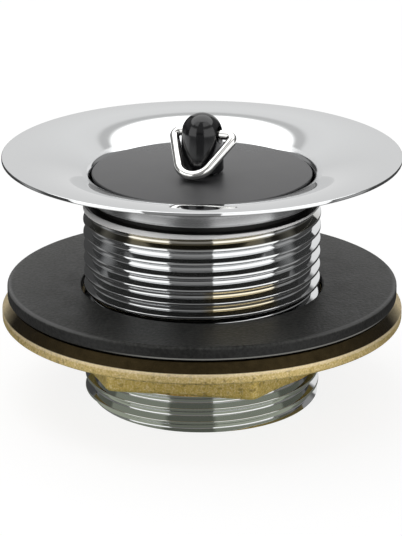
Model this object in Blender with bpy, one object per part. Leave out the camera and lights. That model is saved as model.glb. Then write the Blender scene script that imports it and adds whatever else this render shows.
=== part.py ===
"""Wash basin waste: flanged body with a pipe thread, rubber washer, backnut and a plug with a lifting ring.

Units are metres. The origin is the bottom centre of the threaded tail and +Z points up the drain's axis.
"""

import math

import bmesh
import bpy

# Pipe thread on the tail
THREAD_RADIUS = 0.020955
THREAD_DEPTH = 0.001479
THREAD_PITCH = 0.002309
THREAD_FLANK_ANGLE = math.radians(27.5)
THREAD_CREST_SHARE = 0.5
THREAD_CREST_HEIGHT = 0.03289
THREAD_CLEARANCE = 0.00025

# Waste body
BODY_HEIGHT = 0.0444
BORE_RADIUS = 0.0175
BORE_CHAMFER = 0.0004
TAIL_CHAMFER = 0.0006
THREAD_TOP = 0.03635
THREAD_RUNOUT = 0.0004
RELIEF_RADIUS = 0.01920
RELIEF_HEIGHT = 0.0014
NECK_RADIUS = 0.0206
NECK_CHAMFER = 0.0003
FLANGE_RADIUS = 0.0350
RIM_THICKNESS = 0.0006
RIM_CHAMFER = 0.00015
FLANGE_ROOT_THICKNESS = 0.00125
DISH_CURVE_RADIUS = 0.0330
UNDER_FILLET_WIDTH = 0.0010
LIP_FILLET_WIDTH = 0.00095
SEAT_MOUTH_RADIUS = 0.01952
SEAT_HALF_ANGLE = math.radians(10.0)
SEAT_DEPTH = 0.0058

# Rubber sealing washer
WASHER_TOP = 0.02110
WASHER_RADIUS = 0.03455
WASHER_THICKNESS = 0.00235
WASHER_EDGE_ROUND = 0.0009
WASHER_HOLE_CLEARANCE = 0.00062
WASHER_HOLE_ROUND = 0.0003

# Backnut
NUT_HEIGHT = 0.01115
NUT_LAND_RADIUS = 0.0343
NUT_LAND_SLOPE_HEIGHT = 0.00188
NUT_RIM_RADIUS = 0.03556
NUT_RIM_HEIGHT = 0.0018
NUT_EDGE = 0.00015
NUT_UNDER_DROP = 0.0004
NUT_MOUTH_CHAMFER = 0.0005
HEX_ACROSS_FLATS = 0.0444
HEX_CHAMFER_SHARE = 0.5
HEX_CHAMFER_HEIGHT = 0.0006
HEX_TURN = math.radians(-9.5)

# Plug disc
PLUG_SET_DOWN = 0.0034
PLUG_CLEARANCE = 0.0003
PLUG_HEIGHT = 0.0064
PLUG_TOP_ROUND = 0.00035
PLUG_FOOT_ROUND = 0.0006
PLUG_WALL = 0.0029
PLUG_SKIN = 0.0030
PLUG_BOSS_RADIUS = 0.0052
PLUG_BOSS_HEIGHT = 0.0008

# Knob with its shank, and the washer that holds it
KNOB_DOME_RADIUS = 0.00357
KNOB_EYE_HEIGHT = 0.0070
KNOB_BASE_RADIUS = 0.00385
KNOB_BASE_ROUND = 0.0003
SHANK_RADIUS = 0.0020
SHANK_CLEARANCE = 0.0003
RETAINER_RADIUS = 0.0043
RETAINER_THICKNESS = 0.0008
RETAINER_EDGE = 0.0001
STAKE_RADIUS = 0.0029
STAKE_HEIGHT = 0.0010
STAKE_ROUND = 0.0004

# Lifting ring
WIRE_RADIUS = 0.00086
EYE_CLEARANCE = 0.0003
RING_LENGTH = 0.00877
RING_CORNER_RADIUS = 0.0010
RING_APEX_RADIUS = 0.00305
RING_SHOULDER_GAP = 0.0010
RING_REST_GAP = 0.00025
RING_SIDE_SHIFT = 0.00025
RING_YAW = math.radians(-21.5)

# Gaps, overruns and smoothness
SEAT_GAP = 0.0003
CUT_OVERRUN = 0.0020
MERGE_DISTANCE = 0.000001
BODY_STEPS = 48
SMALL_STEPS = 24
ARC_STEPS = 3
HOLE_ROUND_STEPS = 1
SMALL_ROUND_STEPS = 2
DISH_STEPS = 5
DOME_STEPS = 7
WIRE_ARC_STEPS = 7
SMOOTH_ANGLE = math.radians(32.0)

# Heights and radii that follow from the sizes above
FRONT = -math.pi / 2
THREAD_ROOT_RADIUS = THREAD_RADIUS - THREAD_DEPTH
NUT_BOTTOM = WASHER_TOP - WASHER_THICKNESS - SEAT_GAP - NUT_HEIGHT
PLUG_TOP = BODY_HEIGHT - PLUG_SET_DOWN


def clear_scene():
    for obj in list(bpy.data.objects):
        bpy.data.objects.remove(obj, do_unlink=True)


def make_material(name, color, roughness, metallic):
    material = bpy.data.materials.new(name)
    material.use_nodes = True
    shader = material.node_tree.nodes["Principled BSDF"]
    shader.inputs["Base Color"].default_value = (*color, 1.0)
    shader.inputs["Roughness"].default_value = roughness
    shader.inputs["Metallic"].default_value = metallic
    return material


def add_object(name, data, material, parent=None):
    obj = bpy.data.objects.new(name, data)
    bpy.context.scene.collection.objects.link(obj)
    data.materials.append(material)
    obj.parent = parent
    return obj


def add_piece(name, bm, material, parent=None):
    mesh = bpy.data.meshes.new(name)
    bm.to_mesh(mesh)
    bm.free()
    obj = add_object(name, mesh, material, parent)
    mesh.shade_smooth()
    mesh.set_sharp_from_angle(angle=SMOOTH_ANGLE)
    return obj


def add_pivot(name, height, parent=None):
    pivot = bpy.data.objects.new(name, None)
    bpy.context.scene.collection.objects.link(pivot)
    pivot.location.z = height
    pivot.parent = parent
    return pivot


def arc(center, radius, start, end, steps=ARC_STEPS):
    """Points of an arc from one angle to another, both ends included."""
    angles = [start + (end - start) * step / steps for step in range(steps + 1)]
    return [(center[0] + radius * math.cos(a), center[1] + radius * math.sin(a)) for a in angles]


def fillet(before, corner, after, radius, steps=ARC_STEPS):
    """An arc in place of one corner of an outline, tangent to the lines on both sides of it."""
    back = math.atan2(before[1] - corner[1], before[0] - corner[0])
    ahead = math.atan2(after[1] - corner[1], after[0] - corner[0])
    opening = (ahead - back + math.pi) % math.tau - math.pi
    reach = radius / math.sin(abs(opening) / 2)
    middle = back + opening / 2
    center = (corner[0] + reach * math.cos(middle), corner[1] + reach * math.sin(middle))
    sweep = math.copysign(math.pi, opening) - opening
    return arc(center, radius, middle + math.pi + sweep / 2, middle + math.pi - sweep / 2, steps)


def roll(start, start_slope, end_slope, width, steps=ARC_STEPS):
    """An arc that runs inward and down across a radial width while its slope steepens."""
    radius = width / (math.sin(end_slope) - math.sin(start_slope))
    points = []
    for step in range(1, steps + 1):
        slope = start_slope + (end_slope - start_slope) * step / steps
        inward = radius * (math.sin(slope) - math.sin(start_slope))
        down = radius * (math.cos(start_slope) - math.cos(slope))
        points.append((start[0] - inward, start[1] - down))
    return points


def spin_outline(outline, steps, closed=True):
    """Turn an outline about +Z. An open outline starts and ends on the axis."""
    bm = bmesh.new()
    verts = [bm.verts.new((radius, 0, height)) for radius, height in outline]
    ends = verts[1:] + verts[:1] if closed else verts[1:]
    edges = [bm.edges.new(pair) for pair in zip(verts, ends)]
    bmesh.ops.spin(bm, geom=verts + edges, cent=(0, 0, 0), axis=(0, 0, 1), angle=math.tau, steps=steps,
                   use_merge=True)
    bmesh.ops.remove_doubles(bm, verts=bm.verts, dist=MERGE_DISTANCE)
    bmesh.ops.recalc_face_normals(bm, faces=bm.faces)
    return bm


def column_angles(start=FRONT):
    return [start + math.tau * step / BODY_STEPS for step in range(BODY_STEPS)]


def add_ring(bm, angles, radius_at, height):
    """A ring of vertices, one on each column, with its radius given as a function of the angle."""
    ring = []
    for angle in angles:
        radius = radius_at(angle)
        ring.append(bm.verts.new((radius * math.cos(angle), radius * math.sin(angle), height)))
    return ring


def add_round(bm, angles, radius, height):
    return add_ring(bm, angles, lambda angle: radius, height)


def join_rings(bm, rings):
    """Faces between each ring and the next, pointing out where the outline runs up its outer side."""
    for low, high in zip(rings, rings[1:]):
        for here in range(len(low)):
            there = (here + 1) % len(low)
            bm.faces.new((low[here], low[there], high[there], high[here]))


def thread_rows(clearance=0.0):
    """Axial offset from the crest and radius of each helical line, for a thread or for its nut."""
    flats = THREAD_PITCH - 2 * THREAD_DEPTH * math.tan(THREAD_FLANK_ANGLE)
    spread = clearance * (1 - math.sin(THREAD_FLANK_ANGLE)) / math.cos(THREAD_FLANK_ANGLE)
    crest = flats * THREAD_CREST_SHARE / 2 + spread
    root = flats * (1 - THREAD_CREST_SHARE) / 2 - spread
    middle = THREAD_PITCH / 2
    outer = THREAD_RADIUS + clearance
    inner = THREAD_ROOT_RADIUS + clearance
    return [(-crest, outer), (crest, outer), (middle - root, inner), (middle + root, inner)]


def thread_radius(rows, height, angle):
    """Radius of the thread's surface at one height and angle."""
    crest_height = THREAD_CREST_HEIGHT + THREAD_PITCH * (angle - FRONT) / math.tau
    from_crest = (height - crest_height) % THREAD_PITCH
    from_crest = min(from_crest, THREAD_PITCH - from_crest)
    crest, outer = rows[1]
    root, inner = rows[2]
    share = min(max((from_crest - crest) / (root - crest), 0), 1)
    return outer + (inner - outer) * share


def add_thread(bm, angles, rows, low, high, limit, offset=0.0, inside=False):
    """Helical faces between a low ring and a high ring, each given as its height and its vertices.

    Each helical line climbs one pitch a turn, so the last column meets the first one line group on. Lines
    past an end, or within half a column's climb of it, run along that end's ring.
    """
    count = len(angles)
    snap = THREAD_PITCH / count / 2
    turns_below = math.floor((low[0] + offset - THREAD_CREST_HEIGHT) / THREAD_PITCH) - 2
    turns_above = math.ceil((high[0] + offset - THREAD_CREST_HEIGHT) / THREAD_PITCH) + 2
    lines = [(turn, row) for turn in range(turns_below, turns_above) for row in range(len(rows))]
    made = {}

    def corner(column, line):
        turn, row = line
        if column == count:
            return corner(0, (turn + 1, row))
        climb = THREAD_PITCH * (turn + (angles[column] - FRONT) / math.tau)
        height = THREAD_CREST_HEIGHT - offset + climb + rows[row][0]
        if height < low[0] + snap:
            return low[1][column]
        if height > high[0] - snap:
            return high[1][column]
        key = (column, turn, row)
        if key not in made:
            radius = limit(rows[row][1], height)
            angle = angles[column]
            made[key] = bm.verts.new((radius * math.cos(angle), radius * math.sin(angle), height))
        return made[key]

    for column in range(count):
        for line, above in zip(lines, lines[1:]):
            loop = [corner(column, line), corner(column + 1, line), corner(column + 1, above),
                    corner(column, above)]
            loop = [vert for index, vert in enumerate(loop) if vert is not loop[index - 1]]
            if len(loop) > 2:
                bm.faces.new(loop[::-1] if inside else loop)


def dish_height(radius):
    return BODY_HEIGHT - (FLANGE_RADIUS - radius) ** 2 / (2 * DISH_CURVE_RADIUS)


def dish_slope(radius):
    return math.atan((FLANGE_RADIUS - radius) / DISH_CURVE_RADIUS)


def underside_height(radius):
    inner = NECK_RADIUS + UNDER_FILLET_WIDTH
    share = (FLANGE_RADIUS - radius) / (FLANGE_RADIUS - inner)
    return dish_height(radius) - RIM_THICKNESS - (FLANGE_ROOT_THICKNESS - RIM_THICKNESS) * share


def underside_outline():
    """The neck's fillet and the flange's underside, from the neck out to the rim."""
    inner = NECK_RADIUS + UNDER_FILLET_WIDTH
    start = (inner, underside_height(inner))
    points = roll(start, dish_slope(inner), math.pi / 2, UNDER_FILLET_WIDTH)[::-1]
    for step in range(DISH_STEPS):
        radius = inner + (FLANGE_RADIUS - RIM_CHAMFER - inner) * step / DISH_STEPS
        points.append((radius, underside_height(radius)))
    points.append((FLANGE_RADIUS - RIM_CHAMFER, BODY_HEIGHT - RIM_THICKNESS))
    points.append((FLANGE_RADIUS, BODY_HEIGHT - RIM_THICKNESS + RIM_CHAMFER))
    points.append((FLANGE_RADIUS, BODY_HEIGHT - RIM_CHAMFER))
    return points


def dish_outline():
    """The dished top from the rim in to the lip, and the lip rolled down into the plug's seat."""
    outer = FLANGE_RADIUS - RIM_CHAMFER
    inner = SEAT_MOUTH_RADIUS + LIP_FILLET_WIDTH
    points = []
    for step in range(DISH_STEPS + 1):
        radius = outer + (inner - outer) * step / DISH_STEPS
        points.append((radius, dish_height(radius)))
    return points + roll(points[-1], dish_slope(inner), math.pi / 2 - SEAT_HALF_ANGLE, LIP_FILLET_WIDTH)


def seat_mouth_height():
    return dish_outline()[-1][1]


def seat_radius(height):
    """Radius of the tapered seat, carried on above its mouth."""
    return SEAT_MOUTH_RADIUS + (height - seat_mouth_height()) * math.tan(SEAT_HALF_ANGLE)


def bore_outline():
    """The tapered seat, a sloping ledge and the bore, from the lip down to the tail's end."""
    seat_foot = seat_mouth_height() - SEAT_DEPTH
    ledge = seat_radius(seat_foot) - BORE_RADIUS
    return [(seat_radius(seat_foot), seat_foot), (BORE_RADIUS, seat_foot - ledge),
            (BORE_RADIUS, BORE_CHAMFER), (BORE_RADIUS + BORE_CHAMFER, 0)]


def make_waste_body(material):
    bm = bmesh.new()
    angles = column_angles()
    rows = thread_rows()

    def limit(radius, height):
        run_in = THREAD_RADIUS - TAIL_CHAMFER + height
        run_out = RELIEF_RADIUS + (THREAD_TOP - height) * (THREAD_RADIUS - RELIEF_RADIUS) / THREAD_RUNOUT
        return min(radius, run_in, run_out)

    foot = add_ring(bm, angles, lambda angle: limit(thread_radius(rows, 0, angle), 0), 0)
    head = add_round(bm, angles, RELIEF_RADIUS, THREAD_TOP)
    add_thread(bm, angles, rows, (0, foot), (THREAD_TOP, head), limit)
    relief_top = THREAD_TOP + RELIEF_HEIGHT
    outline = [(RELIEF_RADIUS, relief_top), (NECK_RADIUS - NECK_CHAMFER, relief_top),
               (NECK_RADIUS, relief_top + NECK_CHAMFER)]
    outline += underside_outline() + dish_outline() + bore_outline()
    rings = [head] + [add_round(bm, angles, radius, height) for radius, height in outline] + [foot]
    join_rings(bm, rings)
    return add_piece("waste_body", bm, material)


def make_sealing_washer(material):
    """Flat rubber ring with well rounded outer edges. Its own height starts at its underside."""
    hole = THREAD_RADIUS + WASHER_HOLE_CLEARANCE
    inner = [(hole, WASHER_THICKNESS), (hole, 0)]
    outer = [(WASHER_RADIUS, 0), (WASHER_RADIUS, WASHER_THICKNESS)]
    outline = fillet(inner[0], inner[1], outer[0], WASHER_HOLE_ROUND, HOLE_ROUND_STEPS)
    outline += fillet(inner[1], outer[0], outer[1], WASHER_EDGE_ROUND)
    outline += fillet(outer[0], outer[1], inner[0], WASHER_EDGE_ROUND)
    outline += fillet(outer[1], inner[0], inner[1], WASHER_HOLE_ROUND, HOLE_ROUND_STEPS)
    obj = add_piece("sealing_washer", spin_outline(outline, BODY_STEPS), material)
    obj.location.z = WASHER_TOP - WASHER_THICKNESS
    return obj


def hex_radius(angle):
    """Radius of the hexagon at an angle, with the middle of one side at the turned front."""
    side = math.tau / 6
    from_middle = (angle - FRONT - HEX_TURN + side / 2) % side - side / 2
    return HEX_ACROSS_FLATS / 2 / math.cos(from_middle)


def make_backnut(material):
    """Flange with a sloping land above a hexagon, threaded right through. Its own height starts at 0."""
    bm = bmesh.new()
    angles = column_angles(FRONT + HEX_TURN)
    rows = thread_rows(THREAD_CLEARANCE)
    mouth = rows[0][1] + NUT_MOUTH_CHAMFER
    corner_radius = HEX_ACROSS_FLATS / 2 / math.cos(math.pi / 6)
    chamfer = corner_radius - (corner_radius - HEX_ACROSS_FLATS / 2) * HEX_CHAMFER_SHARE
    rim_top = NUT_HEIGHT - NUT_LAND_SLOPE_HEIGHT
    rim_bottom = rim_top - NUT_RIM_HEIGHT

    def limit(radius, height):
        return max(radius, mouth - height, mouth - (NUT_HEIGHT - height))

    foot = add_round(bm, angles, mouth, 0)
    head = add_round(bm, angles, mouth, NUT_HEIGHT)
    add_thread(bm, angles, rows, (0, foot), (NUT_HEIGHT, head), limit, offset=NUT_BOTTOM, inside=True)
    rings = [foot, add_ring(bm, angles, lambda angle: min(hex_radius(angle), chamfer), 0),
             add_ring(bm, angles, hex_radius, HEX_CHAMFER_HEIGHT),
             add_ring(bm, angles, hex_radius, rim_bottom - NUT_UNDER_DROP)]
    outline = [(NUT_RIM_RADIUS - NUT_EDGE, rim_bottom), (NUT_RIM_RADIUS, rim_bottom + NUT_EDGE),
               (NUT_RIM_RADIUS, rim_top - NUT_EDGE), (NUT_RIM_RADIUS - NUT_EDGE, rim_top),
               (NUT_LAND_RADIUS, NUT_HEIGHT - NUT_EDGE), (NUT_LAND_RADIUS - NUT_EDGE, NUT_HEIGHT)]
    rings += [add_round(bm, angles, radius, height) for radius, height in outline] + [head]
    join_rings(bm, rings)
    obj = add_piece("backnut", bm, material)
    obj.location.z = NUT_BOTTOM
    return obj


def plug_radius(depth):
    """Radius of the plug's side at a depth below its top face, clear of the seat all the way down."""
    return seat_radius(PLUG_TOP - depth) - PLUG_CLEARANCE / math.cos(SEAT_HALF_ANGLE)


def make_plug_disc(material, parent):
    """Tapered disc, hollow below round a short boss. Heights are measured from its top face."""
    hole = SHANK_RADIUS + SHANK_CLEARANCE
    foot = -PLUG_HEIGHT
    roof = -PLUG_SKIN
    boss = roof - PLUG_BOSS_HEIGHT
    hollow = plug_radius(PLUG_HEIGHT) - PLUG_WALL
    top_edge = (plug_radius(0), 0)
    foot_edge = (plug_radius(PLUG_HEIGHT), foot)
    outline = [(hole, 0)]
    outline += fillet((hole, 0), top_edge, foot_edge, PLUG_TOP_ROUND)
    outline += fillet(top_edge, foot_edge, (hollow, foot), PLUG_FOOT_ROUND)
    outline += [(hollow, foot), (hollow, roof)]
    outline += [(PLUG_BOSS_RADIUS, roof), (PLUG_BOSS_RADIUS, boss), (hole, boss)]
    return add_piece("plug_disc", spin_outline(outline, BODY_STEPS), material, parent)


def retainer_top():
    return -PLUG_SKIN - PLUG_BOSS_HEIGHT - SEAT_GAP


def make_plug_retainer(material, parent):
    """Plain washer under the boss, round the knob's shank."""
    hole = SHANK_RADIUS + SHANK_CLEARANCE
    top = retainer_top()
    low = top - RETAINER_THICKNESS
    outline = [(hole, low), (RETAINER_RADIUS - RETAINER_EDGE, low), (RETAINER_RADIUS, low + RETAINER_EDGE),
               (RETAINER_RADIUS, top - RETAINER_EDGE), (RETAINER_RADIUS - RETAINER_EDGE, top), (hole, top)]
    return add_piece("plug_retainer", spin_outline(outline, SMALL_STEPS), material, parent)


def make_eye_cutter(parent):
    """Guide cylinder for the hole that the ring's wire passes through."""
    bm = bmesh.new()
    length = 2 * (KNOB_DOME_RADIUS + CUT_OVERRUN)
    radius = WIRE_RADIUS + EYE_CLEARANCE
    bmesh.ops.create_cone(bm, cap_ends=True, segments=SMALL_STEPS, depth=length, radius1=radius,
                          radius2=radius)
    mesh = bpy.data.meshes.new("eye_cutter")
    bm.to_mesh(mesh)
    bm.free()
    cutter = bpy.data.objects.new("eye_cutter", mesh)
    bpy.context.scene.collection.objects.link(cutter)
    cutter.parent = parent
    cutter.rotation_euler.y = math.pi / 2
    cutter.hide_render = True
    cutter.display_type = "WIRE"
    return cutter


def make_plug_knob(material, parent, cutter):
    """Domed knob on a shank whose foot is spread below the retainer. It has a cross hole for the ring."""
    base = SEAT_GAP
    stake_top = retainer_top() - RETAINER_THICKNESS - SEAT_GAP
    stake_foot = stake_top - STAKE_HEIGHT
    dome = arc((0, KNOB_EYE_HEIGHT), KNOB_DOME_RADIUS, math.pi / 2, 0, DOME_STEPS)
    base_edge = (KNOB_BASE_RADIUS, base)
    stake_edge = (STAKE_RADIUS, stake_foot)
    outline = [(0, dome[0][1])] + dome[1:]
    outline += fillet(dome[-1], base_edge, (SHANK_RADIUS, base), KNOB_BASE_ROUND, SMALL_ROUND_STEPS)
    outline += [(SHANK_RADIUS, base), (SHANK_RADIUS, stake_top), (STAKE_RADIUS, stake_top)]
    outline += fillet((STAKE_RADIUS, stake_top), stake_edge, (0, stake_foot), STAKE_ROUND, SMALL_ROUND_STEPS)
    outline += [(0, stake_foot)]
    obj = add_piece("plug_knob", spin_outline(outline, SMALL_STEPS, closed=False), material, parent)
    cut = obj.modifiers.new("eye", "BOOLEAN")
    cut.operation = "DIFFERENCE"
    cut.solver = "EXACT"
    cut.object = cutter
    return obj


def ring_outline():
    """The wire's centre line: along the hinge, round both shoulders and down to the rounded tip.

    Across is measured along the hinge and drop is measured away from it. A leg is the outer tangent of a
    shoulder's arc and the tip's arc, and its lean is the angle that this tangent makes with the drop.
    """
    shoulder = KNOB_DOME_RADIUS + RING_SHOULDER_GAP
    fall = RING_LENGTH - RING_APEX_RADIUS - RING_CORNER_RADIUS
    apart = math.hypot(shoulder, fall)
    lean = math.atan2(shoulder, fall) - math.asin((RING_APEX_RADIUS - RING_CORNER_RADIUS) / apart)
    tip = (0, RING_APEX_RADIUS - RING_LENGTH)
    corner = RING_CORNER_RADIUS
    right = arc((shoulder, -corner), corner, math.pi / 2, -lean, WIRE_ARC_STEPS)
    bottom = arc(tip, RING_APEX_RADIUS, -lean, lean - math.pi, WIRE_ARC_STEPS)
    left = arc((-shoulder, -corner), corner, math.pi + lean, math.pi / 2, WIRE_ARC_STEPS)
    return right + bottom + left


def make_lifting_ring(material, parent):
    """Closed wire ring hinged in the knob's cross hole, a little to one side, and lying forward on the plug."""
    curve = bpy.data.curves.new("lifting_ring", "CURVE")
    curve.dimensions = "3D"
    curve.bevel_depth = WIRE_RADIUS
    curve.bevel_resolution = 3
    points = ring_outline()
    spline = curve.splines.new("POLY")
    spline.points.add(len(points) - 1)
    spline.use_cyclic_u = True
    spline.use_smooth = True
    for point, (across, drop) in zip(spline.points, points):
        point.co = (across + RING_SIDE_SHIFT, 0, drop, 1)
    ring = add_object("lifting_ring", curve, material, parent)
    lean = math.acos((KNOB_EYE_HEIGHT - WIRE_RADIUS - RING_REST_GAP) / RING_LENGTH)
    ring.rotation_euler.x = -lean
    return ring


def build():
    clear_scene()
    chrome = make_material("chrome_plate", (0.66, 0.67, 0.68), 0.08, 1.0)
    brass = make_material("cast_brass", (0.56, 0.45, 0.21), 0.42, 1.0)
    washer_rubber = make_material("washer_rubber", (0.045, 0.045, 0.043), 0.62, 0.0)
    plug_rubber = make_material("plug_rubber", (0.040, 0.040, 0.042), 0.45, 0.0)
    gloss_black = make_material("gloss_black", (0.012, 0.012, 0.013), 0.08, 0.0)
    bare_steel = make_material("bare_steel", (0.50, 0.50, 0.49), 0.35, 1.0)
    wire_chrome = make_material("wire_chrome", (0.70, 0.70, 0.70), 0.06, 1.0)

    make_waste_body(chrome)
    make_sealing_washer(washer_rubber)
    make_backnut(brass)
    plug_axis = add_pivot("plug_axis", PLUG_TOP)
    ring_axis = add_pivot("ring_axis", KNOB_EYE_HEIGHT, plug_axis)
    ring_axis.rotation_euler.z = RING_YAW
    make_plug_disc(plug_rubber, plug_axis)
    make_plug_retainer(bare_steel, plug_axis)
    make_plug_knob(gloss_black, plug_axis, make_eye_cutter(ring_axis))
    make_lifting_ring(wire_chrome, ring_axis)


build()
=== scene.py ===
import math

import bmesh
import bpy
import numpy as np
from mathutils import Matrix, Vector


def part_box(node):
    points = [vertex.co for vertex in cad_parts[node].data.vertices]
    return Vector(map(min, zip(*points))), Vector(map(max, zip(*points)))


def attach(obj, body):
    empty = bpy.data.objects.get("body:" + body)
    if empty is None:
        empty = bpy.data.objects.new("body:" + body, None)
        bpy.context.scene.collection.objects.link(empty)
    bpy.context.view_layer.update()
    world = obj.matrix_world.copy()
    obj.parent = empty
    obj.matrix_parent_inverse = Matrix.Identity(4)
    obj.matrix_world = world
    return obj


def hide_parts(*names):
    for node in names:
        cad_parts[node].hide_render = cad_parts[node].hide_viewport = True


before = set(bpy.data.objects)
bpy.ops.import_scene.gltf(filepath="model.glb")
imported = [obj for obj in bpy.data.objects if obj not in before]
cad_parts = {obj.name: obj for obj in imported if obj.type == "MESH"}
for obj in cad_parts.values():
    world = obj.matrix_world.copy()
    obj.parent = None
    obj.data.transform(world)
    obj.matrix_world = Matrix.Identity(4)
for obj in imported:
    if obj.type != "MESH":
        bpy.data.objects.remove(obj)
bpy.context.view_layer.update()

mm = 0.001
front = -math.pi / 2      # angle of the side that faces the camera


# Node maths

class Wire:
    # One socket of a node tree. Arithmetic on it adds Math nodes.
    def __init__(self, kit, socket):
        self.kit = kit
        self.socket = socket

    def math(self, operation, *others, first=None, clamp=False):
        inputs = [self, *others] if first is None else [first, self]
        settings = {"operation": operation, "use_clamp": clamp}
        return self.kit.node("ShaderNodeMath", settings, dict(enumerate(inputs)))

    def __add__(self, other):
        return self.math("ADD", other)

    def __radd__(self, other):
        return self.math("ADD", other)

    def __sub__(self, other):
        return self.math("SUBTRACT", other)

    def __rsub__(self, other):
        return self.math("SUBTRACT", first=other)

    def __mul__(self, other):
        return self.math("MULTIPLY", other)

    def __rmul__(self, other):
        return self.math("MULTIPLY", other)

    def __truediv__(self, other):
        return self.math("DIVIDE", other)

    def __neg__(self):
        return self.math("MULTIPLY", -1.0)

    def __abs__(self):
        return self.math("ABSOLUTE")

    def clamp(self):
        return self.math("ADD", 0.0, clamp=True)

    # 0 below the edge, 1 above it, with a ramp of the given width across it
    def above(self, edge, width):
        return ((self - edge) * (1 / width) + 0.5).clamp()

    def between(self, low, high, width):
        return self.above(low, width) * (1 - self.above(high, width))


class NodeKit:
    def __init__(self, owner):
        owner.use_nodes = True
        self.owner = owner
        self.tree = owner.node_tree
        self.tree.nodes.clear()

    # A node by its type, its settings, and the values or links of its sockets
    def node(self, kind, settings=None, sockets=None, output=0):
        made = self.tree.nodes.new(kind)
        for key, value in (settings or {}).items():
            setattr(made, key, value)
        for key, value in (sockets or {}).items():
            if isinstance(value, Wire):
                self.tree.links.new(value.socket, made.inputs[key])
            else:
                made.inputs[key].default_value = value
        return Wire(self, made.outputs[output]) if made.outputs else made

    def place(self):
        return self.node("ShaderNodeTexCoord", output="Object")

    def axes(self, vector):
        split = self.node("ShaderNodeSeparateXYZ", {}, {0: vector})
        return [Wire(self, split.socket.node.outputs[i]) for i in range(3)]

    # Angle about the drain's axis in degrees: 0 towards the photograph's camera, + to the right
    def azimuth(self, x, y):
        return x.math("ARCTAN2", -y) * (180 / math.pi)

    # Radius, azimuth and height of the shaded point
    def polar(self):
        x, y, z = self.axes(self.place())
        return (x * x + y * y).math("SQRT"), self.azimuth(x, y), z

    # Noise between 0 and 1; size is the width of a typical blotch in metres
    def noise(self, size, detail=3.0, rough=0.55):
        values = {"Vector": self.place(), "Scale": 1 / size, "Detail": detail, "Roughness": rough}
        return self.node("ShaderNodeTexNoise", {}, values, "Fac")

    def mixColour(self, share, first, second):
        return self.node("ShaderNodeMix", {"data_type": "RGBA"}, {0: share, 6: first, 7: second}, 2)

    # Height runs from 0 to 1; distance is the relief at 1, in metres
    def bump(self, height, distance):
        return self.node("ShaderNodeBump", {}, {"Height": height, "Distance": distance, "Strength": 1.0})

    # Light of one constant level: an emission, or a background in a world
    def glow(self, level, colour=(1, 1, 1), kind="ShaderNodeEmission"):
        return self.node(kind, {}, {"Color": rgb(*colour), "Strength": level})

    def mixShader(self, share, first, second):
        return self.node("ShaderNodeMixShader", {}, {0: share, 1: first, 2: second})

    def finish(self, **shader):
        values = {key.replace("_", " "): value for key, value in shader.items()}
        surface = self.node("ShaderNodeBsdfPrincipled", {}, values)
        self.node("ShaderNodeOutputMaterial", {}, {"Surface": surface})
        return self.owner


def rgb(red, green, blue):
    return (red, green, blue, 1.0)


# Surfaces

# Outline with its corners rounded. Each corner is (radius out, height, rounding, steps). The arc in its
# place has its centre on the line that halves the corner, rounding / sin(half the corner) from it, and
# touches both sides.
def softOutline(corners, closed=False):
    count = len(corners)
    points = []
    for here, (across, up, rounding, steps) in enumerate(corners):
        corner = np.array([across, up])
        if rounding == 0 or (not closed and here in (0, count - 1)):
            points.append(corner[None])
            continue
        before = np.array(corners[here - 1][:2]) - corner
        after = np.array(corners[(here + 1) % count][:2]) - corner
        before = before / np.linalg.norm(before)
        after = after / np.linalg.norm(after)
        middle = before + after
        middle = middle / np.linalg.norm(middle)
        half = math.acos(np.clip(before @ after, -1, 1)) / 2
        centre = corner + middle * rounding / math.sin(half)
        start = corner + before * rounding / math.tan(half) - centre
        turn = math.pi - 2 * half
        side = math.copysign(1, before[0] * after[1] - before[1] * after[0])
        angles = -side * np.linspace(0, turn, steps + 1)
        cos, sin = np.cos(angles), np.sin(angles)
        swept = np.stack([start[0] * cos - start[1] * sin, start[0] * sin + start[1] * cos], axis=-1)
        points.append(centre + swept)
    outline = np.concatenate(points)
    return np.concatenate([outline, outline[:1]]) if closed else outline


# Profile of (radius, height) turned about the drain's axis: x = radius cos a, y = radius sin a, z = height.
# Radius and height may also be whole grids that change with the angle.
def turned(radius, height, angles):
    radius, height, angles = np.broadcast_arrays(radius, height, angles)
    return np.stack([radius * np.cos(angles), radius * np.sin(angles), height], axis=-1)


# Angles right round, evenly spaced from the front: a = front + full turn * column / count
def columns(count):
    return front + np.linspace(0, 2 * math.pi, count + 1)


# Outline turned right round: every row is a circle of the outline's radius at its height
def lathe(outline, count):
    return turned(outline[:, :1], outline[:, 1:], columns(count))


# Quads between neighbours of a grid of points. Rows and columns that meet are merged, which closes seams
# and poles.
def addSurface(name, grid, weld=0.0008 * mm):
    rows, cols = grid.shape[:2]
    index = np.arange(rows * cols).reshape(rows, cols)
    quads = np.stack([index[:-1, :-1], index[:-1, 1:], index[1:, 1:], index[1:, :-1]], axis=-1)
    mesh = bpy.data.meshes.new(name)
    mesh.from_pydata(grid.reshape(-1, 3).tolist(), [], quads.reshape(-1, 4).tolist())
    work = bmesh.new()
    work.from_mesh(mesh)
    bmesh.ops.remove_doubles(work, verts=work.verts, dist=weld)
    bmesh.ops.dissolve_degenerate(work, edges=work.edges, dist=weld / 10)
    bmesh.ops.recalc_face_normals(work, faces=work.faces)
    work.to_mesh(mesh)
    work.free()
    piece = bpy.data.objects.new(name, mesh)
    bpy.context.scene.collection.objects.link(piece)
    return piece


def dress(piece, material, body, node, sharpAngle=40):
    piece.data.materials.clear()
    piece.data.materials.append(material)
    piece.data.shade_smooth()
    piece.data.set_sharp_from_angle(angle=math.radians(sharpAngle))
    even = piece.modifiers.new("evenNormals", "WEIGHTED_NORMAL")
    even.keep_sharp = True
    even.weight = 90
    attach(piece, body)
    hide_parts(node)
    print("   ", piece.name, len(piece.data.polygons), "faces")


# Pipe thread shared by the waste and the backnut

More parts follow.
